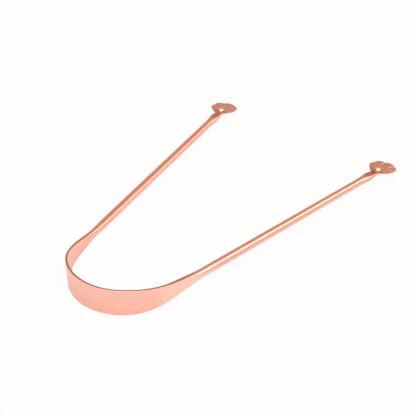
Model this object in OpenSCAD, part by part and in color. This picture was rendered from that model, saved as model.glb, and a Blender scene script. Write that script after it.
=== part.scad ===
// Tongue scraper: a copper strip bent into a U. Its middle is beaten flat into a thin
// upright band, its arms stay round rods, and a scalloped finger rest is riveted to
// the flattened end of each arm.

/* [Band] */
// Height of the scraping band
band_h = 10.9; // [8:0.1:14]
// Thickness of the scraping band
band_t = 0.8; // [0.7:0.05:1.2]
// Rounding of the band's long edges
edge_r = 0.15; // [0.1:0.05:0.3]
// Length along the bow, each side of its middle, of the scraping part
blade_half_l = 9.5; // [7:0.5:11]
// Length along the bow of the springy stretch beside the scraping part
flex_l = 11.5; // [9:0.5:14]

/* [Bow] */
// Radius of the bow, to the middle of the band
bow_r = 21.1; // [17:0.1:26]
// Angle that the tight arc of the bow turns through, each side
bow_angle = 61.5; // [55:0.5:68]
// Radius of the slack arc that leads into the straight arm
slack_r = 28.5; // [22:0.5:36]
// Angle by which each arm spreads from the middle plane
arm_splay = 8.9; // [4:0.1:13]

/* [Arms] */
// Length along the strip from the middle of the bow to the rivet
strip_l = 143.7; // [120:0.5:170]
// Distance along the strip from its middle to where the band starts to narrow
taper_start = 12; // [10:0.5:14]
// Length along the strip of the narrowing shoulder
taper_l = 37; // [32:0.5:45]
// Diameter of the round arm where it leaves the shoulder
rod_d = 3.3; // [2.9:0.05:3.8]
// Diameter that the round arm tapers down to at its far end
tip_d = 2.95; // [2.8:0.05:3.3]

/* [Neck] */
// Angle at which the pressed top facet, the tang and the rest slope down towards the tip
rest_tilt = 7.5; // [6:0.5:9]
// Height of the top facet above the arm's middle, at the rivet
tang_rise = 0.3; // [0.1:0.05:0.45]
// Distance from the rivet at which the pressed lower facet starts
low_press_l = 7; // [5:0.2:8]
// Distance from the rivet at which the arm starts to narrow, seen from above
narrow_l = 4.8; // [3.8:0.2:6]
// Thickness of the flat tang under the finger rest
tang_t = 0.9; // [0.7:0.05:1.1]
// Width of the tang
tang_w = 2.6; // [2.2:0.1:2.8]

/* [Finger rests] */
// Reach from the rivet to the far edge of the rest
rest_reach = 8.65; // [7.25:0.1:10.05]
// Distance from the rivet back to the root edge of the rest
rest_back = 2.6; // [2:0.1:3]
// Width of the rest's root edge
root_w = 3.7; // [3.2:0.1:4.2]
// Thickness of the rest
rest_t = 0.5; // [0.45:0.05:0.8]
// Angle between neighbouring lobes of the scalloped edge
lobe_step = 24; // [21:0.5:27]
// Radius of the pressed grooves between the lobes
groove_r = 0.9; // [0.6:0.1:1.2]
// Depth of the grooves at the rim
groove_depth = 0.2; // [0.1:0.05:0.25]
// Depth of the shallow dish in the middle of the rest
dish_depth = 0.14; // [0.08:0.02:0.2]

/* [Rivets] */
// Diameter of the rivet's shank
rivet_d = 1.2; // [1:0.05:1.4]
// Clearance all round the shank in its holes
hole_gap = 0.03; // [0.02:0.01:0.05]
// Diameter of the domed head
head_d = 2.2; // [2.1:0.05:2.6]
// Height of the domed head
head_h = 0.7; // [0.5:0.05:0.9]
// Diameter of the beaten foot under the tang
foot_d = 2; // [1.7:0.1:2.1]
// Thickness of the beaten foot
foot_h = 0.3; // [0.2:0.05:0.4]

/* [Hidden] */

// Drawn lengths that run past the metal they cut
overrun = 1;
// Spacing of the sections along a narrowing stretch
section_gap = 1.9;
// Points on each rounded corner of a section
corner_points = 8;
// The end of the shoulder is this share of the rod's diameter and runs into the rod
shoulder_share = 0.995;
root_lap = 1;
// How the metal thickens while the height falls
thicken_share = 5;
// Reach of the middle, next and outer lobes, as shares of the reach of the rest
lobe_reach_shares = [1, 0.905, 0.715];
// Radius of the same lobes, as shares of their own reach
lobe_round_shares = [0.35, 0.42, 0.475];
// Angle of the outer lobe, as a share of two steps
outer_lobe_share = 1.04;
// Angles of the grooves from the middle line of the rest
groove_angles = [17.5, 50];
// The dish starts and ends at these shares of the reach
dish_start_share = 0.19;
dish_end_share = 0.9;
// The grooves break through the top face at this share of the reach
groove_start_share = 0.3;

turn = 180 / PI;
rod_r = rod_d / 2;
hole_d = rivet_d + 2 * hole_gap;
arm_heading = 90 - arm_splay;
tight_l = bow_r * bow_angle / turn;
straight_start = tight_l + slack_r * (arm_heading - bow_angle) / turn;
flex_end = blade_half_l + flex_l;
shoulder_end = max(taper_start + taper_l, straight_start);
$fn = 96;

// Direction of the strip at a length s from the middle of the bow
function heading(s) =
    s < tight_l ? s / bow_r * turn
    : s < straight_start ? bow_angle + (s - tight_l) / slack_r * turn
    : arm_heading;

// Point at angle a on an arc that starts along +X and turns to +Y
function arc_point(r, a) = [r * sin(a), r * (1 - cos(a))];

// Middle of the strip at a length s, on the right side
function strip_point(s) =
    s < tight_l ? arc_point(bow_r, heading(s))
    : s < straight_start
        ? arc_point(bow_r, bow_angle) + arc_point(slack_r, heading(s)) - arc_point(slack_r, bow_angle)
    : arc_point(bow_r, bow_angle) + arc_point(slack_r, arm_heading) - arc_point(slack_r, bow_angle)
        + (s - straight_start) * [cos(arm_heading), sin(arm_heading)];

// Zero at the band, one at the rod, with a smooth start and end
function narrowing(s) =
    let (t = min(max((s - taper_start) / taper_l, 0), 1)) t * t * (3 - 2 * t);

function half_height(s) = (band_h + (rod_d * shoulder_share - band_h) * narrowing(s)) / 2;
function half_thickness(s) =
    (band_t + (rod_d * shoulder_share - band_t) * pow(narrowing(s), thicken_share)) / 2;
function corner_radius(s) =
    let (w = narrowing(s)) min(half_thickness(s), edge_r + (rod_r - edge_r) * w);

// Outline of a section: across the strip and up, as a rectangle with round corners
function section_outline(s) =
    let (a = half_thickness(s), b = half_height(s), r = corner_radius(s))
    [for (k = [0:3], i = [0:corner_points - 1])
        let (q = 90 * k + 90 * (i + 0.5) / corner_points,
             sx = k == 0 || k == 3 ? 1 : -1,
             sz = k < 2 ? 1 : -1)
        [sx * (a - r) + r * cos(q), sz * (b - r) + r * sin(q)]];

// Section set square to the strip at length s
function section_at(s) =
    let (p = strip_point(s), h = heading(s))
    [for (q = section_outline(s)) [p[0] - q[0] * sin(h), p[1] + q[0] * cos(h), q[1]]];

// Lobes of a rest, each as [along, across, radius] from the rivet
function lobe_angle(k) = lobe_step * k * (abs(k) == 2 ? outer_lobe_share : 1);
function lobe(k) =
    let (reach = rest_reach * lobe_reach_shares[abs(k)], r = reach * lobe_round_shares[abs(k)])
    [(reach - r) * cos(lobe_angle(k)), (reach - r) * sin(lobe_angle(k)), r];

// Where a line from a point p touches the circle of a lobe on the given side
function touch_point(p, c, side) =
    let (d = [p[0] - c[0], p[1] - c[1]], a = atan2(d[1], d[0]) + side * acos(c[2] / norm(d)))
    [c[0] + c[2] * cos(a), c[1] + c[2] * sin(a)];

// Length of the whole scraper, from the front of the bow to the far lobes
rest_way = [cos(rest_tilt) * sin(arm_heading), cos(arm_heading)];
rest_end = rest_t * sin(rest_tilt) * sin(arm_heading)
    + max([for (k = [-2:2]) let (c = lobe(k)) c[0] * rest_way[0] + c[1] * rest_way[1] + c[2] * norm(rest_way)]);
far_y = strip_point(strip_l)[1] + rest_end;
middle_y = (far_y - band_t / 2) / 2;

// Puts the bottom of the scraper's box, at its middle, on the origin
module seat_frame() {
    translate([0, -middle_y, band_h / 2]) children();
}

// Puts its child on both sides or one: side 1 is right, side -1 is left
module on_side(side) {
    seat_frame() mirror([side < 0 ? 1 : 0, 0, 0]) children();
}

// Local frame at the rivet: +X runs out along the arm, +Y faces the inside of the U
module at_rivet() {
    translate(strip_point(strip_l)) rotate([0, 0, arm_heading]) children();
}

// Local frame on the pressed facet at the rivet, sloping down towards the tip
module on_facet() {
    at_rivet() translate([0, 0, tang_rise]) rotate([0, rest_tilt, 0]) children();
}

// Rounded rectangle of the band's section, standing upright at the bow's radius
module band_section() {
    translate([bow_r, 0]) {
        square([band_t - 2 * edge_r, band_h], center = true);
        square([band_t, band_h - 2 * edge_r], center = true);
        for (x = [-1, 1], z = [-1, 1])
            translate([x * (band_t / 2 - edge_r), z * (band_h / 2 - edge_r)]) circle(r = edge_r);
    }
}

// Evenly spaced lengths along the strip from s0 to s1
function stations(s0, s1) =
    let (steps = ceil((s1 - s0) / section_gap)) [for (i = [0:steps]) s0 + (s1 - s0) * i / steps];

// Solid through the sections at the given lengths along the strip
module swept_strip(lengths) {
    steps = len(lengths) - 1;
    n = 4 * corner_points;
    points = [for (s = lengths, p = section_at(s)) p];
    sides = [for (i = [0:steps - 1], j = [0:n - 1])
        [i * n + j, (i + 1) * n + j, (i + 1) * n + (j + 1) % n, i * n + (j + 1) % n]];
    first = [for (j = [0:n - 1]) j];
    last = [for (j = [n - 1:-1:0]) steps * n + j];
    polyhedron(points = points, faces = concat(sides, [first, last]), convexity = 4);
}

// Scraping band at the front of the bow
module scraper_blade() {
    a = blade_half_l / bow_r * turn;
    color("#e8a184") seat_frame() translate([0, bow_r, 0]) rotate([0, 0, 270 - a])
        rotate_extrude(angle = 2 * a) band_section();
}

// Stretch of the bow that bends when the arms are squeezed or spread
module flexure(side) {
    color("#e29a7c") on_side(side) swept_strip(stations(blade_half_l, flex_end));
}

// Round arm, pressed flat from above and below into a neck and a tang
module arm_rod() {
    rod_l = strip_l - shoulder_end - root_lap / 2;
    intersection() {
        translate([-rod_l, 0, 0]) rotate([0, 90, 0]) cylinder(d1 = rod_d, d2 = tip_d, h = rod_l + tang_w);
        rotate([90, 0, 0]) linear_extrude(height = rod_d + overrun, center = true)
            arm_side_outline(rod_l);
        linear_extrude(height = rod_d + overrun, center = true) arm_plan_outline(rod_l);
    }
}

// Point of the facet's frame, seen from the side, in the arm's frame
function facet_point(p) =
    [p[0] * cos(rest_tilt) + p[1] * sin(rest_tilt), tang_rise - p[0] * sin(rest_tilt) + p[1] * cos(rest_tilt)];

// Outline of the arm from the side: the facets run on past the round metal
module arm_side_outline(rod_l) {
    high = rod_r + overrun / 2;
    heel = facet_point([-rest_back, -tang_t]);
    low_slope = (heel[1] + rod_r) / (heel[0] + low_press_l);
    polygon([
        [-rod_l - overrun, high],
        facet_point([-(high - tang_rise) / sin(rest_tilt), 0]),
        facet_point([tang_w, 0]),
        facet_point([tang_w, -tang_t]),
        heel,
        [-low_press_l - (high - rod_r) / low_slope, -high],
        [-rod_l - overrun, -high]]);
}

// Outline of the arm from above: it narrows to the tang and ends in a round
module arm_plan_outline(rod_l) {
    wide = rod_r + overrun / 2;
    polygon([
        [-rod_l - overrun, -wide], [-narrow_l, -wide],
        [-rest_back, -tang_w / 2], [0, -tang_w / 2],
        [0, tang_w / 2], [-rest_back, tang_w / 2],
        [-narrow_l, wide], [-rod_l - overrun, wide]]);
    circle(d = tang_w);
}

// Handle: shoulder that narrows from band to rod, straight arm, neck and holed tang
module handle(side) {
    color("#cd7f63") on_side(side) {
        swept_strip(concat(stations(flex_end, shoulder_end), [shoulder_end + root_lap]));
        difference() {
            at_rivet() arm_rod();
            on_facet() translate([0, 0, -rod_d]) cylinder(d = hole_d, h = 2 * rod_d);
        }
    }
}

// Outline of a rest: round lobes, joined to a narrow root by straight flanks
module rest_outline() {
    root = [-rest_back, root_w / 2];
    outer = lobe(2);
    touch = touch_point(root, outer, -1);
    for (k = [-2:2]) {
        c = lobe(k);
        translate([c[0], c[1]]) circle(r = c[2]);
    }
    polygon([[-rest_back, -root[1]], [touch[0], -touch[1]], [outer[0], -outer[1]],
             [lobe(1)[0], -lobe(1)[1]], [lobe(1)[0], lobe(1)[1]],
             [outer[0], outer[1]], touch, root]);
}

// Sphere that cuts the shallow dish
module dish_cutter() {
    near = rest_reach * dish_start_share;
    far = rest_reach * dish_end_share;
    half = (far - near) / 2;
    r = (half * half + dish_depth * dish_depth) / (2 * dish_depth);
    translate([(near + far) / 2, 0, rest_t - dish_depth + r]) sphere(r = r);
}

// Round bar that presses one groove, deeper towards the rim
module groove_cutter(angle) {
    start = rest_reach * groove_start_share;
    slope = atan(groove_depth / (rest_reach - start));
    rotate([0, 0, angle]) translate([start, 0, rest_t]) rotate([0, 90 + slope, 0])
        translate([-groove_r, 0, -start]) cylinder(r = groove_r, h = rest_reach + 2 * start);
}

// Scalloped finger rest that lies on the tang
module finger_rest(side) {
    color("#c98674") on_side(side) on_facet() difference() {
        linear_extrude(height = rest_t) rest_outline();
        dish_cutter();
        for (angle = groove_angles, way = [-1, 1]) groove_cutter(way * angle);
        translate([0, 0, -overrun]) cylinder(d = hole_d, h = rest_t + 2 * overrun);
    }
}

// Rivet: domed head on the rest, shank through both holes, beaten foot under the tang
module rivet(side) {
    dome_r = (head_d * head_d / 4 + head_h * head_h) / (2 * head_h);
    color("#f3c9a8") on_side(side) on_facet() {
        translate([0, 0, -tang_t - foot_h]) cylinder(d = foot_d, h = foot_h);
        translate([0, 0, -tang_t]) cylinder(d = rivet_d, h = tang_t + rest_t);
        translate([0, 0, rest_t]) intersection() {
            translate([0, 0, head_h - dome_r]) sphere(r = dome_r);
            cylinder(d = head_d + overrun, h = head_h + overrun);
        }
    }
}

scraper_blade();
flexure(-1);  // left_flexure
flexure(1);  // right_flexure
handle(-1);  // left_handle
handle(1);  // right_handle
finger_rest(-1);  // left_finger_rest
finger_rest(1);  // right_finger_rest
rivet(-1);  // left_rivet
rivet(1);  // right_rivet
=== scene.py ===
"""A copper tongue scraper: one strip bent to a bow and drawn out into two round arms, with a shell-shaped
finger rest riveted to the pressed end of each arm."""
from math import asin, atan2, cos, pi, radians, sin, sqrt, tan, tau

import bmesh
import bpy
from mathutils import Matrix, Vector


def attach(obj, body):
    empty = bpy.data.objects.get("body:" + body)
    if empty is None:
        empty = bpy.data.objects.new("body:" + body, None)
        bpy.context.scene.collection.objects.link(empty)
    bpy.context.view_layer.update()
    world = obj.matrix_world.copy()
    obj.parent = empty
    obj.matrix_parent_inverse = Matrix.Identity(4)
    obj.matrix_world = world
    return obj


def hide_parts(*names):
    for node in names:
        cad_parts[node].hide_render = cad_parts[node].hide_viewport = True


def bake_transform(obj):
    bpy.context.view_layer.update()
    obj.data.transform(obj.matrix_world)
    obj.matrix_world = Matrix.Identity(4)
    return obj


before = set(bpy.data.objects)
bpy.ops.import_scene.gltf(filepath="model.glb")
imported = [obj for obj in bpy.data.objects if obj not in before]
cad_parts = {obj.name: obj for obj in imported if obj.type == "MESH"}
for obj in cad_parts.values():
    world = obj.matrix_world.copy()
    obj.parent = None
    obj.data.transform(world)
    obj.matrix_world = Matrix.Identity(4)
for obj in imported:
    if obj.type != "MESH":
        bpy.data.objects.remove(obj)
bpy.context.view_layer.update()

MM = 0.001
LEFT = -1
RIGHT = 1
SIDES = {"left": LEFT, "right": RIGHT}

# Line of the strip: a tight bow, then a slacker curve, then the straight arm. A run is a distance along the
# strip from the front of the bow.
BOW_R = 21.1 * MM
BOW_TURN = radians(61.5)
SLACK_R = 28.5 * MM
ARM_TURN = radians(90 - 8.9)
TIGHT_RUN = BOW_R * BOW_TURN
STRAIGHT_RUN = TIGHT_RUN + SLACK_R * (ARM_TURN - BOW_TURN)
RIVET_RUN = 143.7 * MM
SEAT = Vector((0, -69.179 * MM, 5.45 * MM))

# Runs at which one piece of the strip meets the next, and at which the shoulder has become a round rod
BLADE_END = 9.5 * MM
FLEX_END = 21 * MM
ROUND_START = 53 * MM

# Steps between one ring of points and the next
SEAM_STEP = 0.1 * MM
CURVE_STEP = 0.35 * MM
SHOULDER_STEP = 2 * CURVE_STEP
ROD_STEP = 2 * MM
PRESS_STEP = 0.3 * MM
TANG_STEP = 2 * PRESS_STEP

# Section of the strip, from the flat band to the round rod, which tapers a little to its tip
BAND_HALF_HEIGHT = 5.45 * MM
BAND_HALF_THICKNESS = 0.4 * MM
BAND_EDGE_R = 0.08 * MM
ROD_R = 1.655 * MM
TIP_R = 1.485 * MM

# Where the height of each shoulder starts to draw in to the rod, and how long that takes
TAPERS = {RIGHT: (13 * MM, 35.4 * MM), LEFT: (11 * MM, 34 * MM)}

# The shoulders thicken late, and their corners stay sharp until late
THICKEN_START = 13 * MM
THICKEN_LENGTH = 38.5 * MM
THICKEN_POWER = 2.6
ROUNDING_POWER = 8

# The band's upper edge leans out, more at the sides than at the front, and the shoulders hang a little low
FRONT_LEAN = radians(1.1)
SIDE_LEAN = radians(2.4)
SHOULDER_SAG = 0.26 * MM

# The arm's end, pressed flat from above and from below, and spread a little sideways by the press
REST_TILT = radians(7.5)
TANG_RISE = 0.3 * MM
TOP_PRESS_RUN = (TIP_R - TANG_RISE) / tan(REST_TILT)
LOW_PRESS_RUN = 7 * MM
HEEL_RUN = 2.695 * MM
HEEL_DROP = 0.253 * MM
TANG_THICKNESS = 0.9 * MM
TANG_HALF_WIDTH = 1.3 * MM
PRESS_SETTLE_RUN = 4 * MM
ROUND_END_TURNS = [0, 20, 40, 55, 68, 78, 86]

# Width of the arm's end as a share of the rod's, at distances back from the rivet
NECK_WIDTHS = [
    (0 * MM, 0.88), (1.9 * MM, 0.93), (3.4 * MM, 1.02), (5 * MM, 1.19),
    (6.4 * MM, 1.33), (7.4 * MM, 1.32), (9 * MM, 1.2), (11.5 * MM, 1),
]

# Points round the section, a quarter at a time, stepping from the middle of the wide face to the middle of
# the narrow edge: which way each point of the band's rounded corner faces, in degrees, and how far up the
# wide face and out along the narrow edge it lies
QUARTER = 12
RING_POINTS = 4 * QUARTER
BAND_TURNS = [0, 0, 0, 0, 15, 30, 45, 60, 75, 90, 90, 90, 90]
WIDE_SHARES = [0, 0.5, 0.97, 1, 1, 1, 1, 1, 1, 1, 1, 1, 1]
EDGE_SHARES = [1, 1, 1, 1, 1, 1, 1, 1, 1, 1, 0.8, 0.4, 0]

# Steps on the corner, which use polishes and which are painted paler as a highlight, and on the narrow edge,
# which stays as it was sawn and is painted darker as dull metal and shade
CORNER_STEPS = range(3, 9)
SAWN_STEPS = range(9, QUARTER + 1)
SAWN_FADE_POWER = 4

# The pressed faces take the last steps of each quarter, whose points lie at shares of the way out to the
# face's edge. On the rod, before there is a face, those steps start at the round turn, and on the pressed end
# they may start as high as the tip turn.
FACET_STEP = 8
FACET_SHARES = [1, 0.93, 0.62, 0.31, 0]
ROUND_FACET_TURN = radians(60)
TIP_FACET_TURN = radians(87)
FACET_DULL_SHADE_RUN = 0.3 * TOP_PRESS_RUN

# Rivet
HEAD_R = 1.22 * MM
HEAD_H = 0.85 * MM
HEAD_STEPS = 10
FOOT_R = 1 * MM
FOOT_H = 0.3 * MM
FOOT_ROUNDING = [(1, 0.4), (0.93, 0.12), (0.8, 0), (0, 0)]
SHANK_R = 0.57 * MM
RIVET_STEPS = 48
SHARP_TURN = radians(40)
MERGE_REACH = 0.001 * MM

# Finger rest. A lobe has its angle in steps, its reach as a share of the rest's, and its radius as a share of
# its own reach.
REST_REACH = 8.65 * MM
REST_BACK = 2.6 * MM
ROOT_HALF_WIDTH = 1.85 * MM
REST_T = 0.5 * MM
LOBE_STEP = radians(24)
LOBES = [(0, 1, 0.35), (1, 0.905, 0.42), (2.08, 0.715, 0.475)]
CUP_LIFT = 0.3 * MM
CUP_HALF_WIDTH = 5.4 * MM
HOLE_R = 0.6 * MM

# Lines whose cross product is under this count as parallel
PARALLEL = 1e-12

# A groove has its angle from the arm's line, its share of the full depth, and how far from the rivet it
# starts. The inner middle groove is longer than the outer one.
GROOVES = [
    (radians(50), 0.8, 1.4 * MM),
    (radians(17.5), 1, 1.5 * MM),
    (radians(-17.5), 1, 2.6 * MM),
    (radians(-50), 0.8, 1.4 * MM),
]
GROOVE_DEEPENING = 2.9 * MM
GROOVE_DEPTH = 0.36 * MM
GROOVE_WIDTH = 0.66 * MM
UNDERSIDE_DEPTH = 0.5

# A shallow dish between the rivet's head and the rim
DISH_DEPTH = 0.14 * MM
DISH_FALL = 1.5 * HEAD_R
DISH_END = 0.98 * REST_REACH
DISH_RISE = 0.4 * REST_REACH

# The rim is rounded, and thinned underneath
RIM_ROUND = 0.14 * MM
RIM_TURNS = (pi / 6, pi / 3, pi / 2)
RIM_THINNING = 0.2 * MM
THINNING_START = 0.8
THINNING_SHARE = 0.2

# Points and rings of the rest, and how much nearer the rings stand at the hole and the rim
REST_POINTS = 360
REST_RINGS = 22
RING_EASING = 0.35
EDGE_SOFTENINGS = 70

# Polish and a painted highlight on the flanks of the rest's grooves, and painted shade in them, round the
# rivet's head and at the root. At the ends of the grooves the painted shade is wide.
STREAK_HIGHLIGHT_WIDTH = 0.9 * MM
# Painted shade in the grooves, round the rivet's head and at the root of the rest
GROOVE_SHADE_WIDTH = 0.3 * MM
GROOVE_SHADE = 0.7
GROOVE_END_SHADE = 0.8
GROOVE_END_START = 0.84
GROOVE_END_SHARE = 0.08
HEAD_SHADE = 0.6
HEAD_SHADE_R = 1.55 * HEAD_R
HEAD_SHADE_FADE = 0.4 * HEAD_R
ROOT_SHADE = 0.85
ROOT_SHADE_END = 0.6 * MM
ROOT_SHADE_FADE = 1.8 * MM

# Coppers
COPPER = (1.0, 0.54, 0.45, 1)
# Painted shade: the strip is darker towards its lower edge and lighter towards its upper edge
SHADED_LOW_COPPER = (0.96, 0.485, 0.41, 1)
LIT_HIGH_COPPER = (1.0, 0.575, 0.475, 1)
# Painted reflection: paler copper on the outside of the shoulders
REFLECTION_PALE_COPPER = (1.0, 0.66, 0.555, 1)
# Dark copper for dull metal, which also carries painted shade
DULL_SHADE_COPPER = (0.66, 0.33, 0.25, 1)
# Paler copper for worn edges, which also carries a painted highlight
WORN_HIGHLIGHT_COPPER = (1.0, 0.7, 0.56, 1)
REST_COPPER = (0.93, 0.5, 0.42, 1)
# Pale copper for the rivet's domed head: polished metal, painted paler as a highlight
RIVET_HIGHLIGHT_COPPER = (1.0, 0.72, 0.58, 1)
DULL_TINT = (0.93, 0.82, 0.78, 1)

# Parts of the noise that make grain, scratches and dull patches
GRAIN_SPAN = (0.3, 0.7)
SCRATCH_SPAN = (0.66, 0.74)
DULL_SPAN = (0.42, 0.72)

# Changes of tone and roughness in the grain, on dull metal and on worn metal, and the relief of the surface
GRAIN_TONES = (0.98, 1.02)
GRAIN_ROUGHNESS = (-0.05, 0.05)
DULL_ROUGHNESS = 0.16
WORN_ROUGHNESS = -0.15
SCRATCH_DEPTH = -0.8
RELIEF_STRENGTH = 0.07
RELIEF_HEIGHT = 0.02 * MM

# Painted shade and a painted reflection along the strip, in millimetres up, across and along it: darker
# towards the lower edge, paler on the outside of the shoulders
SHADE_HEIGHTS = (-5.4, 5.4)
REFLECTION_OUTER_FACE = (-0.3, 0.1)
REFLECTION_RISE = (24, 32)
REFLECTION_FALL = (44, 56)
REFLECTION_ON_BAND = 0.25

# Studio
FLOOR_HALF_SIZE = 4
FLOOR_GREY = (0.7, 0.7, 0.7, 1)
FLOOR_SEEN = 0.94
FLOOR_MIRRORED = 0.5
WHITE = (1, 1, 1, 1)
BACKDROP_WHITE = (0.99, 0.99, 0.99, 1)
ROOM_TONES = [
    (0.0, (0.62, 0.5, 0.42, 1)),
    (0.16, (0.62, 0.5, 0.42, 1)),
    (0.4, (0.6, 0.42, 0.34, 1)),
    (1.0, (0.56, 0.39, 0.32, 1)),
]
LAMP_DISTANCE = 1.5

# Camera, whose bearing is anticlockwise from the front
CAMERA_TARGET = Vector((0.783, -0.530, 5.45)) * MM
CAMERA_BEARING = radians(37.121)
CAMERA_HEIGHT = radians(34.162)
CAMERA_DISTANCE = 523.841 * MM
CAMERA_LENS = 118.664
SENSOR_WIDTH = 36
NEAREST_SEEN = 0.01
FARTHEST_SEEN = 20


# Line and sections of the strip

def clamp(value, low, high):
    return max(low, min(high, value))


def ease(share):
    share = clamp(share, 0, 1)
    return share * share * (3 - 2 * share)


def mix(low, high, share):
    return low + (high - low) * share


def heading(run):
    """How far the strip has turned at a distance along it from the front of the bow."""
    tight = min(run, TIGHT_RUN) / BOW_R
    return tight + clamp(run - TIGHT_RUN, 0, STRAIGHT_RUN - TIGHT_RUN) / SLACK_R


def arc_point(radius, turn):
    return Vector((radius * sin(turn), radius * (1 - cos(turn)), 0))


def line_point(run):
    """The middle of the strip, seen from above, on its right side."""
    point = arc_point(BOW_R, min(run, TIGHT_RUN) / BOW_R)
    slack = clamp(run - TIGHT_RUN, 0, STRAIGHT_RUN - TIGHT_RUN) / SLACK_R
    point += Matrix.Rotation(BOW_TURN, 3, "Z") @ arc_point(SLACK_R, slack)
    straight = max(run - STRAIGHT_RUN, 0)
    return point + straight * Vector((cos(ARM_TURN), sin(ARM_TURN), 0))


def strip_frame(run):
    """A matrix whose X runs along the strip, Y across it to the inside of the bow, and Z up."""
    turn = heading(abs(run))
    place = Matrix.Translation(line_point(abs(run))) @ Matrix.Rotation(turn, 4, "Z")
    if run < 0:
        flip = Matrix.Scale(-1, 4, (1, 0, 0))
        place = flip @ place @ flip
    return Matrix.Translation(SEAT) @ place


def ring_place(index):
    """Which way across and up a ring's point lies, and its step from the wide face to the narrow edge."""
    quarter, step = divmod(index, QUARTER)
    if quarter % 2:
        step = QUARTER - step
    return (1 if quarter in (0, 3) else -1), (1 if quarter < 2 else -1), step


def narrowing(run, hand):
    """How far the band has drawn in to the height of the rod. The left shoulder starts a little sooner."""
    start, length = TAPERS[hand]
    return ease((abs(run) - start) / length)


def strip_section(run, index, hand):
    """A point of the section where the leaning flat band draws in and thickens to the rod."""
    across, up, step = ring_place(index)
    roundness = narrowing(run, hand)
    thickening = ease((abs(run) - THICKEN_START) / THICKEN_LENGTH) ** THICKEN_POWER
    lean = mix(FRONT_LEAN, SIDE_LEAN, ease(abs(run) / TIGHT_RUN)) * (1 - roundness)
    half_height = mix(BAND_HALF_HEIGHT, ROD_R, roundness)
    half_thickness = mix(BAND_HALF_THICKNESS, ROD_R, thickening)
    edge_r = min(half_thickness, mix(BAND_EDGE_R, ROD_R, roundness ** ROUNDING_POWER))
    turn = mix(radians(BAND_TURNS[step]), step / QUARTER * pi / 2, roundness)
    out = across * ((half_thickness - edge_r) * EDGE_SHARES[step] + edge_r * cos(turn))
    height = up * ((half_height - edge_r) * WIDE_SHARES[step] + edge_r * sin(turn))
    sag = 4 * SHOULDER_SAG * roundness * (1 - roundness)
    return Vector((0, out - height * tan(lean), height - sag))


def rod_radius(run):
    """The round arm tapers a little towards its end."""
    return mix(ROD_R, TIP_R, clamp((run - ROUND_START) / (RIVET_RUN - ROUND_START), 0, 1))


def facet_turn(rise, settled):
    """Angle from the middle of the rod to the edge of a pressed face, at a height that is a share of the
    radius."""
    round_turn = mix(ROUND_FACET_TURN, TIP_FACET_TURN, settled)
    return asin(clamp(rise, -1, sin(round_turn)))


def neck_width(left):
    """Width of the arm's end, seen from above, as a share of the rod's, at a distance back from the rivet."""
    if left < 0:
        return NECK_WIDTHS[0][1] * sqrt(max(0, 1 - (left / TANG_HALF_WIDTH) ** 2))
    for (near, low), (far, high) in zip(NECK_WIDTHS, NECK_WIDTHS[1:]):
        if left < far:
            return mix(low, high, ease((left - near) / (far - near)))
    return 1


def low_face(left):
    """How far the lower pressed face lies under the rod's middle."""
    if left < HEEL_RUN:
        return HEEL_DROP + (HEEL_RUN - left) * tan(REST_TILT)
    return mix(HEEL_DROP, ROD_R, min(1, (left - HEEL_RUN) / (LOW_PRESS_RUN - HEEL_RUN)))


def pressed_section(run, index):
    """A point of the section of the rod, which is pressed flat near the rivet and narrows to a tang."""
    across, up, step = ring_place(index)
    left = RIVET_RUN - run
    radius = rod_radius(run)
    top = min(1, (TANG_RISE + left * tan(REST_TILT)) / radius)
    low = min(1, low_face(left) / radius)
    top_turn = facet_turn(top, ease((TOP_PRESS_RUN + PRESS_SETTLE_RUN - left) / PRESS_SETTLE_RUN))
    low_turn = facet_turn(low, ease((LOW_PRESS_RUN + PRESS_SETTLE_RUN - left) / PRESS_SETTLE_RUN))
    width = neck_width(left)
    if step <= FACET_STEP:
        turn = mix(-low_turn, top_turn, (up * step / FACET_STEP + 1) / 2)
        return radius * Vector((0, across * width * cos(turn), sin(turn)))
    out = cos(top_turn if up > 0 else low_turn) * FACET_SHARES[step - FACET_STEP]
    height = min(sqrt(1 - out ** 2), top if up > 0 else low)
    return radius * Vector((0, across * width * out, up * height))


def arm_section(run, index, hand):
    """A point of the section of a handle: the end of the shoulder, then the rod."""
    if run < ROUND_START:
        return strip_section(run, index, hand)
    return pressed_section(run, index)


def edge_share(run, index, hand):
    """How much of an edge a point is, where wear polishes the metal and a highlight is painted paler."""
    step = ring_place(index)[2]
    if RIVET_RUN - run < TOP_PRESS_RUN:
        return 1 if step == FACET_STEP else 0
    return 1 - narrowing(run, hand) if step in CORNER_STEPS else 0


def dark_share(run, index, hand):
    """How dark a point is: the sawn narrow edges of the band and the pressed faces are dull metal, and are
    painted darker as shade too.
    """
    step = ring_place(index)[2]
    left = RIVET_RUN - run
    if left < TOP_PRESS_RUN + PRESS_SETTLE_RUN:
        return ease((TOP_PRESS_RUN - left) / FACET_DULL_SHADE_RUN) if step > FACET_STEP else 0
    return 1 - narrowing(run, hand) ** SAWN_FADE_POWER if step in SAWN_STEPS else 0


# Making pieces

def new_piece(name, mesh_form, finish, body, node):
    """Makes an object from a bmesh, turns its faces outwards, and puts it in place of a CAD node."""
    bmesh.ops.recalc_face_normals(mesh_form, faces=mesh_form.faces)
    mesh = bpy.data.meshes.new(name)
    mesh_form.to_mesh(mesh)
    mesh_form.free()
    mesh.materials.append(finish)
    piece = bpy.data.objects.new(name, mesh)
    bpy.context.scene.collection.objects.link(piece)
    if isinstance(body, str):
        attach(piece, body)
    else:
        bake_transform(piece)
    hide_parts(node)
    return piece


def ring_edges(form, ring):
    """The edges of a closed ring of points."""
    return [form.edges.get(pair) for pair in zip(ring, ring[1:] + ring[:1])]


def next_ring(form, ring):
    """Draws a new ring of points out of a ring, in the same order."""
    drawn = bmesh.ops.extrude_edge_only(form, edges=ring_edges(form, ring))["geom"]
    fresh = {v for v in drawn if isinstance(v, bmesh.types.BMVert)}
    return [next(e.other_vert(v) for e in v.link_edges if e.other_vert(v) in fresh) for v in ring]


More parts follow.
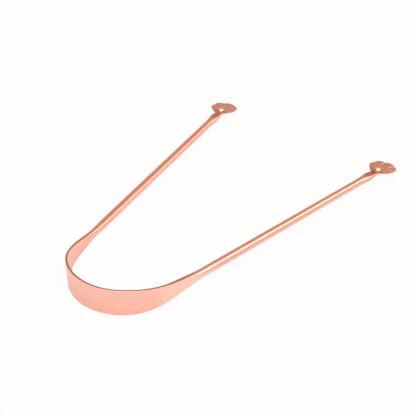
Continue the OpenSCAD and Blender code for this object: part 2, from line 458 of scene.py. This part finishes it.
def sweep(runs, section, side):
    """Draws a ring of points along one side of the strip, or across from the other side, where runs are
    negative, and closes both its ends."""
    form = bmesh.new()
    place_layer = form.verts.layers.float_vector.new("strip_place")
    edge_layer = form.verts.layers.float.new("edge_share")
    dark_layer = form.verts.layers.float.new("dark_share")
    ring = bmesh.ops.create_circle(form, cap_ends=False, segments=RING_POINTS, radius=ROD_R)["verts"]
    ends = []
    for number, run in enumerate(runs):
        if number:
            ring = next_ring(form, ring)
        here = strip_frame(run)
        hand = side if run > 0 else -side
        for index, vert in enumerate(ring):
            local = section(run, index, hand)
            spot = here @ local
            vert.co = (spot.x * side, spot.y, spot.z)
            vert[place_layer] = (run / MM, local.y / MM, local.z / MM)
            vert[edge_layer] = edge_share(run, index, hand)
            vert[dark_layer] = dark_share(run, index, hand)
        if run in (runs[0], runs[-1]):
            ends.append(list(ring))
    for face in form.faces:
        face.smooth = True
    for end in ends:
        cap = form.faces.new(end)
        for edge in cap.edges:
            edge.smooth = False
    return form


def spaced(start, end, step):
    """Runs from start to end, evenly spaced and about a step apart."""
    count = max(1, round(abs(end - start) / step))
    return [mix(start, end, k / count) for k in range(count + 1)]


def joined(*lists):
    """Lists of runs put together, without the doubled ends."""
    out = list(lists[0])
    for more in lists[1:]:
        out += more[1:]
    return out


def seam_runs(start, end, step):
    """Runs for a piece whose ends meet other pieces, with a narrow first and last step."""
    first = start + SEAM_STEP
    last = end - SEAM_STEP
    return joined([start, first], spaced(first, last, step), [last, end])


def blade_form():
    return sweep(seam_runs(-BLADE_END, BLADE_END, CURVE_STEP), strip_section, RIGHT)


def flexure_form(side):
    return sweep(seam_runs(BLADE_END, FLEX_END, CURVE_STEP), strip_section, side)


def handle_form(side):
    first = FLEX_END + SEAM_STEP
    press_start = RIVET_RUN - TOP_PRESS_RUN
    settle = press_start - PRESS_SETTLE_RUN
    heel = RIVET_RUN - HEEL_RUN
    runs = joined(
        [FLEX_END, first],
        spaced(first, ROUND_START, SHOULDER_STEP),
        spaced(ROUND_START, settle, ROD_STEP),
        spaced(settle, press_start, TANG_STEP),
        spaced(press_start, heel, PRESS_STEP),
        spaced(heel, RIVET_RUN, TANG_STEP),
        [RIVET_RUN + TANG_HALF_WIDTH * sin(radians(turn)) for turn in ROUND_END_TURNS],
    )
    return sweep(runs, arm_section, side)


# Finger rest and rivet

def crossed(first, second):
    """The cross product of two flat vectors, which is zero where they are parallel."""
    return first.x * second.y - first.y * second.x


def touch_point(point, centre, radius):
    """Where a line from a point touches a circle on the side away from the arm's line."""
    way = Vector(centre) - Vector(point)
    angle = atan2(way.y, way.x) + asin(radius / way.length)
    reach = sqrt(way.length ** 2 - radius ** 2)
    return Vector(point) + reach * Vector((cos(angle), sin(angle)))


def lobe_circles():
    """Angle, distance of the centre and radius of each lobe on one side of the arm's line."""
    circles = []
    for steps, reach, roundness in LOBES:
        radius = REST_REACH * reach * roundness
        circles.append((steps * LOBE_STEP, REST_REACH * reach - radius, radius))
    return circles


def rest_edge(angle):
    """Distance from the rivet to the outline of the rest, at an angle from the arm's line."""
    angle = abs(angle)
    ray = Vector((cos(angle), sin(angle)))
    circles = lobe_circles()
    found = [0]
    for lobe_angle, middle, radius in circles:
        off = angle - lobe_angle
        inside = radius ** 2 - (middle * sin(off)) ** 2
        if inside > 0 and cos(off) > 0:
            found.append(middle * cos(off) + sqrt(inside))
    outer_angle, middle, radius = circles[-1]
    root = Vector((-REST_BACK, ROOT_HALF_WIDTH))
    touch = touch_point(root, (middle * cos(outer_angle), middle * sin(outer_angle)), radius)
    flank = touch - root
    bottom = crossed(ray, flank)
    if abs(bottom) > PARALLEL:
        reach = crossed(root, flank) / bottom
        share = crossed(root, ray) / bottom
        if reach > 0 and 0 <= share <= 1:
            found.append(reach)
    if ray.x < 0 and abs(REST_BACK / ray.x * ray.y) <= ROOT_HALF_WIDTH:
        found.append(-REST_BACK / ray.x)
    return max(found)


def rest_outline():
    """Distances from the rivet to the rim all round, with the notches between lobes softened."""
    edges = [rest_edge((k / REST_POINTS * tau + pi) % tau - pi) for k in range(REST_POINTS)]
    for _ in range(EDGE_SOFTENINGS):
        edges = [(edges[k - 1] + 2 * edges[k] + edges[(k + 1) % REST_POINTS]) / 4 for k in range(REST_POINTS)]
    return edges


def rest_rows():
    """For each ring of points, its share of the way from hole to rim, how far it is inset and lowered by the
    rounded rim, and whether it is on top."""
    rows = []
    for k in range(REST_RINGS):
        share = k / (REST_RINGS - 1)
        rows.append((RING_EASING * ease(share) + (1 - RING_EASING) * share, RIM_ROUND, 0, True))
    rows += [(1, RIM_ROUND * (1 - sin(turn)), RIM_ROUND * (1 - cos(turn)), True) for turn in RIM_TURNS]
    return rows + [(share, inset, drop, False) for share, inset, drop, _ in reversed(rows)]


def groove_share(along, out, width):
    """One in the middle of a groove of the shell pattern, falling to zero beside it and towards the rivet."""
    share = 0
    for angle, strength, start in GROOVES:
        ahead = along * cos(angle) + out * sin(angle)
        beside = out * cos(angle) - along * sin(angle)
        deep = strength * ease((ahead - start) / GROOVE_DEEPENING)
        share = max(share, deep * clamp(1 - abs(beside) / width, 0, 1))
    return share


def pressed_depth(along, out):
    """How far the shell pattern and the dish are pressed down at a place on the rest."""
    reach = sqrt(along ** 2 + out ** 2)
    bowl = ease((reach - HEAD_R) / DISH_FALL) * ease((DISH_END - reach) / DISH_RISE)
    return GROOVE_DEPTH * groove_share(along, out, GROOVE_WIDTH) + DISH_DEPTH * bowl


def rest_painted_shade(along, out, groove_end):
    """How much painted shade a place on the rest has: in the grooves, round the rivet's head and at the root.
    """
    narrow = GROOVE_SHADE * groove_share(along, out, GROOVE_SHADE_WIDTH)
    wide = GROOVE_END_SHADE * groove_share(along, out, GROOVE_WIDTH)
    ring = HEAD_SHADE * ease((HEAD_SHADE_R - sqrt(along ** 2 + out ** 2)) / HEAD_SHADE_FADE)
    root = ROOT_SHADE * ease((ROOT_SHADE_END - along) / ROOT_SHADE_FADE)
    return max(mix(narrow, wide, groove_end), ring, root)


def arm_end(side):
    """The frame of a rest and rivet: X out along the arm and down the pressed face, Y to the inside."""
    tilt = Matrix.Rotation(REST_TILT, 4, "Y")
    place = strip_frame(RIVET_RUN) @ Matrix.Translation((0, 0, TANG_RISE)) @ tilt
    return Matrix.Scale(side, 4, (1, 0, 0)) @ place


def rest_form(side):
    form = bmesh.new()
    edge_layer = form.verts.layers.float.new("edge_share")
    dark_layer = form.verts.layers.float.new("dark_share")
    edges = rest_outline()
    first = bmesh.ops.create_circle(form, cap_ends=False, segments=REST_POINTS, radius=HOLE_R)["verts"]
    ring = first
    for number, (share, inset, drop, top) in enumerate(rest_rows()):
        if number:
            ring = next_ring(form, ring)
        # Polish and a painted highlight on the rounded top of the rim
        rim = 1 if 0 < drop < RIM_ROUND / 2 else 0
        # Painted shade on the outer side of the rounded rim
        rim_side = 1 if drop > RIM_ROUND / 2 else 0
        for k, vert in enumerate(ring):
            angle = k / REST_POINTS * tau
            reach = HOLE_R + (edges[k] - inset - HOLE_R) * share
            along = reach * cos(angle)
            out = reach * sin(angle)
            pressed = pressed_depth(along, out)
            near_rim = ease((reach / edges[k] - THINNING_START) / THINNING_SHARE)
            thinned = RIM_THINNING * near_rim * ease(along / REST_BACK + 1)
            if top:
                height = REST_T - pressed - drop
            else:
                height = drop - pressed * UNDERSIDE_DEPTH + thinned
            vert.co = (along, out, height + CUP_LIFT * (out / CUP_HALF_WIDTH) ** 2)
            groove_end = ease((reach / edges[k] - GROOVE_END_START) / GROOVE_END_SHARE)
            # Groove flanks painted paler: polish and a painted highlight
            polish_highlight = groove_share(along, out, STREAK_HIGHLIGHT_WIDTH) * (1 - groove_end)
            vert[edge_layer] = max(rim, polish_highlight) if top else 0
            # Painted shade: the rim's side, the grooves, round the rivet's head and at the root
            vert[dark_layer] = max(rim_side, rest_painted_shade(along, out, groove_end))
    rims = ring_edges(form, first) + ring_edges(form, ring)
    bmesh.ops.bridge_loops(form, edges=rims)
    for face in form.faces:
        face.smooth = True
    for edge in rims:
        edge.smooth = False
    bmesh.ops.transform(form, matrix=arm_end(side), verts=form.verts)
    return form


def rivet_form(side):
    form = bmesh.new()
    form.verts.layers.float.new("edge_share")
    ball = (HEAD_R ** 2 + HEAD_H ** 2) / (2 * HEAD_H)
    span = asin(HEAD_R / ball)
    turns = [span * k / HEAD_STEPS for k in range(HEAD_STEPS + 1)]
    outline = [(ball * sin(turn), REST_T + HEAD_H - ball * (1 - cos(turn))) for turn in turns]
    outline += [(SHANK_R, REST_T), (SHANK_R, -TANG_THICKNESS), (FOOT_R, -TANG_THICKNESS)]
    foot_low = -TANG_THICKNESS - FOOT_H
    outline += [(FOOT_R * out, foot_low + FOOT_H * height) for out, height in FOOT_ROUNDING]
    verts = [form.verts.new((out, 0, height)) for out, height in outline]
    edges = [form.edges.new(pair) for pair in zip(verts, verts[1:])]
    bmesh.ops.spin(form, geom=verts + edges, cent=(0, 0, 0), axis=(0, 0, 1), angle=tau,
                   steps=RIVET_STEPS, use_merge=True)
    bmesh.ops.remove_doubles(form, verts=form.verts, dist=MERGE_REACH)
    for face in form.faces:
        face.smooth = True
    for edge in form.edges:
        edge.smooth = len(edge.link_faces) == 2 and edge.calc_face_angle(0) < SHARP_TURN
    bmesh.ops.transform(form, matrix=arm_end(side), verts=form.verts)
    return form


# Materials

def socket(tree, name, way, kind="NodeSocketFloat", value=None):
    made = tree.interface.new_socket(name=name, in_out=way, socket_type=kind)
    if value is not None:
        made.default_value = value
    return made


def add_node(tree, kind, inputs=None, **settings):
    """Adds a node, sets what it is told, and gives each input a value or another node's output."""
    node = tree.nodes.new(kind)
    for name, value in settings.items():
        setattr(node, name, value)
    for name, value in (inputs or {}).items():
        if isinstance(value, bpy.types.NodeSocket):
            tree.links.new(value, node.inputs[name])
        else:
            node.inputs[name].default_value = value
    return node


def maths(tree, operation, *inputs, use_clamp=False):
    """The result of a Math node, with its inputs in order."""
    node = add_node(tree, "ShaderNodeMath", dict(enumerate(inputs)), operation=operation, use_clamp=use_clamp)
    return node.outputs[0]


def fading(tree, value, span, low=0, high=1, kind="SMOOTHSTEP"):
    """A value that goes from low to high while another crosses a span."""
    inputs = {"Value": value, "From Min": span[0], "From Max": span[1], "To Min": low, "To Max": high}
    return add_node(tree, "ShaderNodeMapRange", inputs, interpolation_type=kind).outputs[0]


def mixed(tree, share, first, second, blend="MIX"):
    """Two colours mixed by a share."""
    inputs = {0: share, 6: first, 7: second}
    return add_node(tree, "ShaderNodeMix", inputs, data_type="RGBA", blend_type=blend).outputs[2]


def scaled(tree, first, second):
    """Two vectors or colours multiplied, part by part."""
    return add_node(tree, "ShaderNodeVectorMath", {0: first, 1: second}, operation="MULTIPLY").outputs[0]


def noise(tree, place, scale, detail, roughness, distortion=0):
    inputs = {
        "Vector": place, "Scale": scale, "Detail": detail,
        "Roughness": roughness, "Distortion": distortion,
    }
    return add_node(tree, "ShaderNodeTexNoise", inputs).outputs["Fac"]


def copper_group():
    """Colour, roughness and relief of drawn copper: a fine grain along the metal, scratches, dull patches,
    edges polished by use and painted paler as a highlight, and darker places of dull metal and painted shade.
    The pattern is in millimetres."""
    tree = bpy.data.node_groups.new("copper_finish", "ShaderNodeTree")
    socket(tree, "Place", "INPUT", "NodeSocketVector")
    socket(tree, "Edge", "INPUT")
    socket(tree, "Dark", "INPUT")
    socket(tree, "Tone", "INPUT", "NodeSocketColor", COPPER)
    socket(tree, "Roughness", "INPUT", value=0.25)
    socket(tree, "Grain Along", "INPUT", value=0.04)
    socket(tree, "Grain Strength", "INPUT", value=0.5)
    socket(tree, "Dull Share", "INPUT", value=0.3)
    socket(tree, "Wear And Highlight", "INPUT", value=0.35)
    socket(tree, "Color", "OUTPUT", "NodeSocketColor")
    socket(tree, "Roughness", "OUTPUT")
    socket(tree, "Relief", "OUTPUT")
    given = tree.nodes.new("NodeGroupInput").outputs
    out = tree.nodes.new("NodeGroupOutput").inputs

    split = add_node(tree, "ShaderNodeSeparateXYZ", {0: given["Place"]}).outputs
    squeezed = maths(tree, "MULTIPLY", split["X"], given["Grain Along"])
    stretched = {"X": squeezed, "Y": split["Y"], "Z": split["Z"]}
    grain_place = add_node(tree, "ShaderNodeCombineXYZ", stretched).outputs[0]
    grain = noise(tree, grain_place, scale=6, detail=4, roughness=0.6)
    scratch = noise(tree, grain_place, scale=3.3, detail=2, roughness=0.5, distortion=0.4)
    scratch_line = fading(tree, scratch, SCRATCH_SPAN, kind="LINEAR")
    cloud = noise(tree, given["Place"], scale=0.16, detail=4, roughness=0.6)
    dull = maths(tree, "MULTIPLY", fading(tree, cloud, DULL_SPAN), given["Dull Share"])
    worn_highlight = maths(tree, "MULTIPLY", given["Edge"], given["Wear And Highlight"])

    dull_tone = mixed(tree, 1, given["Tone"], DULL_TINT, "MULTIPLY")
    toned = mixed(tree, dull, given["Tone"], dull_tone)
    grain_tone = fading(tree, grain, GRAIN_SPAN, *GRAIN_TONES, kind="LINEAR")
    grained = scaled(tree, toned, grain_tone)
    # Edges painted paler: wear polish, and a painted highlight
    polished_highlight = mixed(tree, worn_highlight, grained, WORN_HIGHLIGHT_COPPER)
    # Dull metal and painted shade darken the colour
    tree.links.new(mixed(tree, given["Dark"], polished_highlight, DULL_SHADE_COPPER), out["Color"])

    grain_rough = fading(tree, grain, GRAIN_SPAN, *GRAIN_ROUGHNESS, kind="LINEAR")
    rough = maths(tree, "ADD", given["Roughness"], grain_rough)
    rough_dull = maths(tree, "MULTIPLY_ADD", dull, DULL_ROUGHNESS, rough)
    rough_worn = maths(tree, "MULTIPLY_ADD", worn_highlight, WORN_ROUGHNESS, rough_dull, use_clamp=True)
    tree.links.new(rough_worn, out["Roughness"])

    cut = maths(tree, "MULTIPLY", scratch_line, SCRATCH_DEPTH)
    tree.links.new(maths(tree, "MULTIPLY_ADD", grain, given["Grain Strength"], cut), out["Relief"])
    return tree


def painted_shade_and_reflection_tone(tree, where):
    """The colour along the strip: painted shade makes it darker towards the lower edge and paler towards the
    upper edge, and a painted reflection makes the outside of the shoulders paler."""
    split = add_node(tree, "ShaderNodeSeparateXYZ", {0: where}).outputs
    plain = mixed(tree, fading(tree, split["Z"], SHADE_HEIGHTS), SHADED_LOW_COPPER, LIT_HIGH_COPPER)
    outside = fading(tree, split["Y"], REFLECTION_OUTER_FACE, 1, 0)
    rise = fading(tree, split["X"], REFLECTION_RISE, REFLECTION_ON_BAND, 1)
    fall = fading(tree, split["X"], REFLECTION_FALL, 1, 0)
    share = maths(tree, "MULTIPLY", maths(tree, "MULTIPLY", rise, fall), outside)
    return mixed(tree, share, plain, REFLECTION_PALE_COPPER)


def copper(name, group, values, along_strip=True):
    """A copper finish. The pattern follows the strip, or lies on the piece as it stands."""
    material = bpy.data.materials.new(name)
    material.use_nodes = True
    tree = material.node_tree
    shader = tree.nodes["Principled BSDF"].inputs
    shader["Metallic"].default_value = 1
    inputs = dict(values)
    if along_strip:
        where = add_node(tree, "ShaderNodeAttribute", attribute_name="strip_place").outputs["Vector"]
        # The tone along the strip carries painted shade and a painted reflection
        inputs["Tone"] = painted_shade_and_reflection_tone(tree, where)
    else:
        spot = add_node(tree, "ShaderNodeTexCoord").outputs["Object"]
        where = scaled(tree, spot, (1 / MM, 1 / MM, 1 / MM))
    inputs["Place"] = where
    inputs["Edge"] = add_node(tree, "ShaderNodeAttribute", attribute_name="edge_share").outputs["Fac"]
    inputs["Dark"] = add_node(tree, "ShaderNodeAttribute", attribute_name="dark_share").outputs["Fac"]
    finish = add_node(tree, "ShaderNodeGroup", inputs, node_tree=group).outputs
    relief = {"Height": finish["Relief"], "Strength": RELIEF_STRENGTH, "Distance": RELIEF_HEIGHT}
    bump = add_node(tree, "ShaderNodeBump", relief)
    tree.links.new(finish["Color"], shader["Base Color"])
    tree.links.new(finish["Roughness"], shader["Roughness"])
    tree.links.new(bump.outputs["Normal"], shader["Normal"])
    return material


# Stage, light and camera

def white_floor():
    """A plain white floor. The camera and reflections see it nearly white, and it keeps a soft shadow."""
    form = bmesh.new()
    bmesh.ops.create_grid(form, x_segments=1, y_segments=1, size=FLOOR_HALF_SIZE)
    mesh = bpy.data.meshes.new("floor")
    form.to_mesh(mesh)
    form.free()
    material = bpy.data.materials.new("floor_white")
    material.use_nodes = True
    tree = material.node_tree
    tree.nodes.clear()
    rays = add_node(tree, "ShaderNodeLightPath").outputs
    seen = maths(tree, "MULTIPLY", rays["Is Camera Ray"], FLOOR_SEEN)
    mirrored = maths(tree, "MAXIMUM", rays["Is Glossy Ray"], rays["Is Transmission Ray"])
    share = maths(tree, "MULTIPLY_ADD", mirrored, FLOOR_MIRRORED, seen)
    plain = add_node(tree, "ShaderNodeBsdfDiffuse", {"Color": FLOOR_GREY}).outputs[0]
    glow = add_node(tree, "ShaderNodeEmission", {"Color": WHITE, "Strength": 1}).outputs[0]
    both = add_node(tree, "ShaderNodeMixShader", {0: share, 1: plain, 2: glow}).outputs[0]
    add_node(tree, "ShaderNodeOutputMaterial", {"Surface": both})
    mesh.materials.append(material)
    floor = bpy.data.objects.new("floor", mesh)
    bpy.context.scene.collection.objects.link(floor)


def look_back(thing, centre, way, distance):
    """Puts a lamp or the camera at a distance from a centre, looking back at it."""
    thing.location = centre + way * distance
    thing.rotation_euler = (-way).to_track_quat("-Z", "Y").to_euler()
    bpy.context.scene.collection.objects.link(thing)


def soft_box(name, bearing, height, size, brightness, colour=(1, 1, 1)):
    """An area light. The bearing is clockwise from +Y and the height is above the horizon, in degrees."""
    light = bpy.data.lights.new(name, "AREA")
    light.shape = "RECTANGLE"
    light.size, light.size_y = size
    light.energy = brightness * pi * size[0] * size[1]
    light.color = colour
    lamp = bpy.data.objects.new(name, light)
    lamp.visible_camera = False
    level = cos(radians(height))
    way = Vector((sin(radians(bearing)) * level, cos(radians(bearing)) * level, sin(radians(height))))
    look_back(lamp, Vector((0, 0, 0)), way, LAMP_DISTANCE)


def room():
    """The studio round the object: pale near the floor, dimmer and warmer higher up."""
    world = bpy.data.worlds.new("room")
    bpy.context.scene.world = world
    world.use_nodes = True
    tree = world.node_tree
    way = add_node(tree, "ShaderNodeTexCoord").outputs["Generated"]
    split = add_node(tree, "ShaderNodeSeparateXYZ", {0: way})
    ramp = add_node(tree, "ShaderNodeValToRGB", {0: split.outputs["Z"]})
    stops = ramp.color_ramp.elements
    while len(stops) < len(ROOM_TONES):
        stops.new(0.5)
    for stop, (position, colour) in zip(stops, ROOM_TONES):
        stop.position = position
        stop.color = colour
    rays = add_node(tree, "ShaderNodeLightPath").outputs
    seen = mixed(tree, rays["Is Camera Ray"], ramp.outputs["Color"], BACKDROP_WHITE)
    backdrop = tree.nodes["Background"].inputs
    backdrop["Strength"].default_value = 1
    tree.links.new(seen, backdrop["Color"])


def photo_camera():
    """The camera at the photograph's viewing angle. The picture is 416 by 416 pixels."""
    data = bpy.data.cameras.new("camera")
    data.sensor_width = SENSOR_WIDTH
    data.sensor_fit = "HORIZONTAL"
    data.lens = CAMERA_LENS
    data.clip_start = NEAREST_SEEN
    data.clip_end = FARTHEST_SEEN
    camera = bpy.data.objects.new("camera", data)
    level = cos(CAMERA_HEIGHT)
    way = Vector((sin(CAMERA_BEARING) * level, -cos(CAMERA_BEARING) * level, sin(CAMERA_HEIGHT)))
    look_back(camera, CAMERA_TARGET, way, CAMERA_DISTANCE)
    bpy.context.scene.camera = camera


group = copper_group()
band_copper = copper("band_copper", group, {"Roughness": 0.26})
arm_copper = copper("arm_copper", group, {"Roughness": 0.24})
rest_finish = {"Roughness": 0.3, "Grain Along": 1, "Wear And Highlight": 0.4, "Tone": REST_COPPER}
rest_copper = copper("rest_copper", group, rest_finish, along_strip=False)
# The rivet's pale tone is a painted highlight
rivet_finish = {"Roughness": 0.3, "Grain Along": 1, "Tone": RIVET_HIGHLIGHT_COPPER}
rivet_copper = copper("rivet_copper", group, rivet_finish, along_strip=False)

new_piece("bow_front", blade_form(), band_copper, "blade", "scraper_blade")
for word, side in SIDES.items():
    body = word + "_arm"
    start, end = (strip_frame(run).translation for run in (BLADE_END, FLEX_END))
    span = [(spot.x * side, spot.y, spot.z) for spot in (start, end)]
    flexing = ("blade", body, *span)
    new_piece(word + "_bow_side", flexure_form(side), band_copper, flexing, word + "_flexure")
    new_piece(word + "_arm_strip", handle_form(side), arm_copper, body, word + "_handle")
    new_piece(word + "_shell_rest", rest_form(side), rest_copper, body, word + "_finger_rest")
    new_piece(word + "_domed_rivet", rivet_form(side), rivet_copper, body, word + "_rivet")

white_floor()
soft_box("back_light", 52, 39, (1.0, 0.85), 1.6, (1, 0.97, 0.92))
soft_box("low_light", 30, 23, (0.75, 0.6), 0.9, (1, 0.93, 0.8))
soft_box("top_light", 143, 80, (1.8, 1.6), 1.5, (1, 0.92, 0.84))
soft_box("front_light", 143, 36, (2.6, 1.4), 1.4)
room()
photo_camera()
bpy.context.scene.view_settings.view_transform = "Standard"
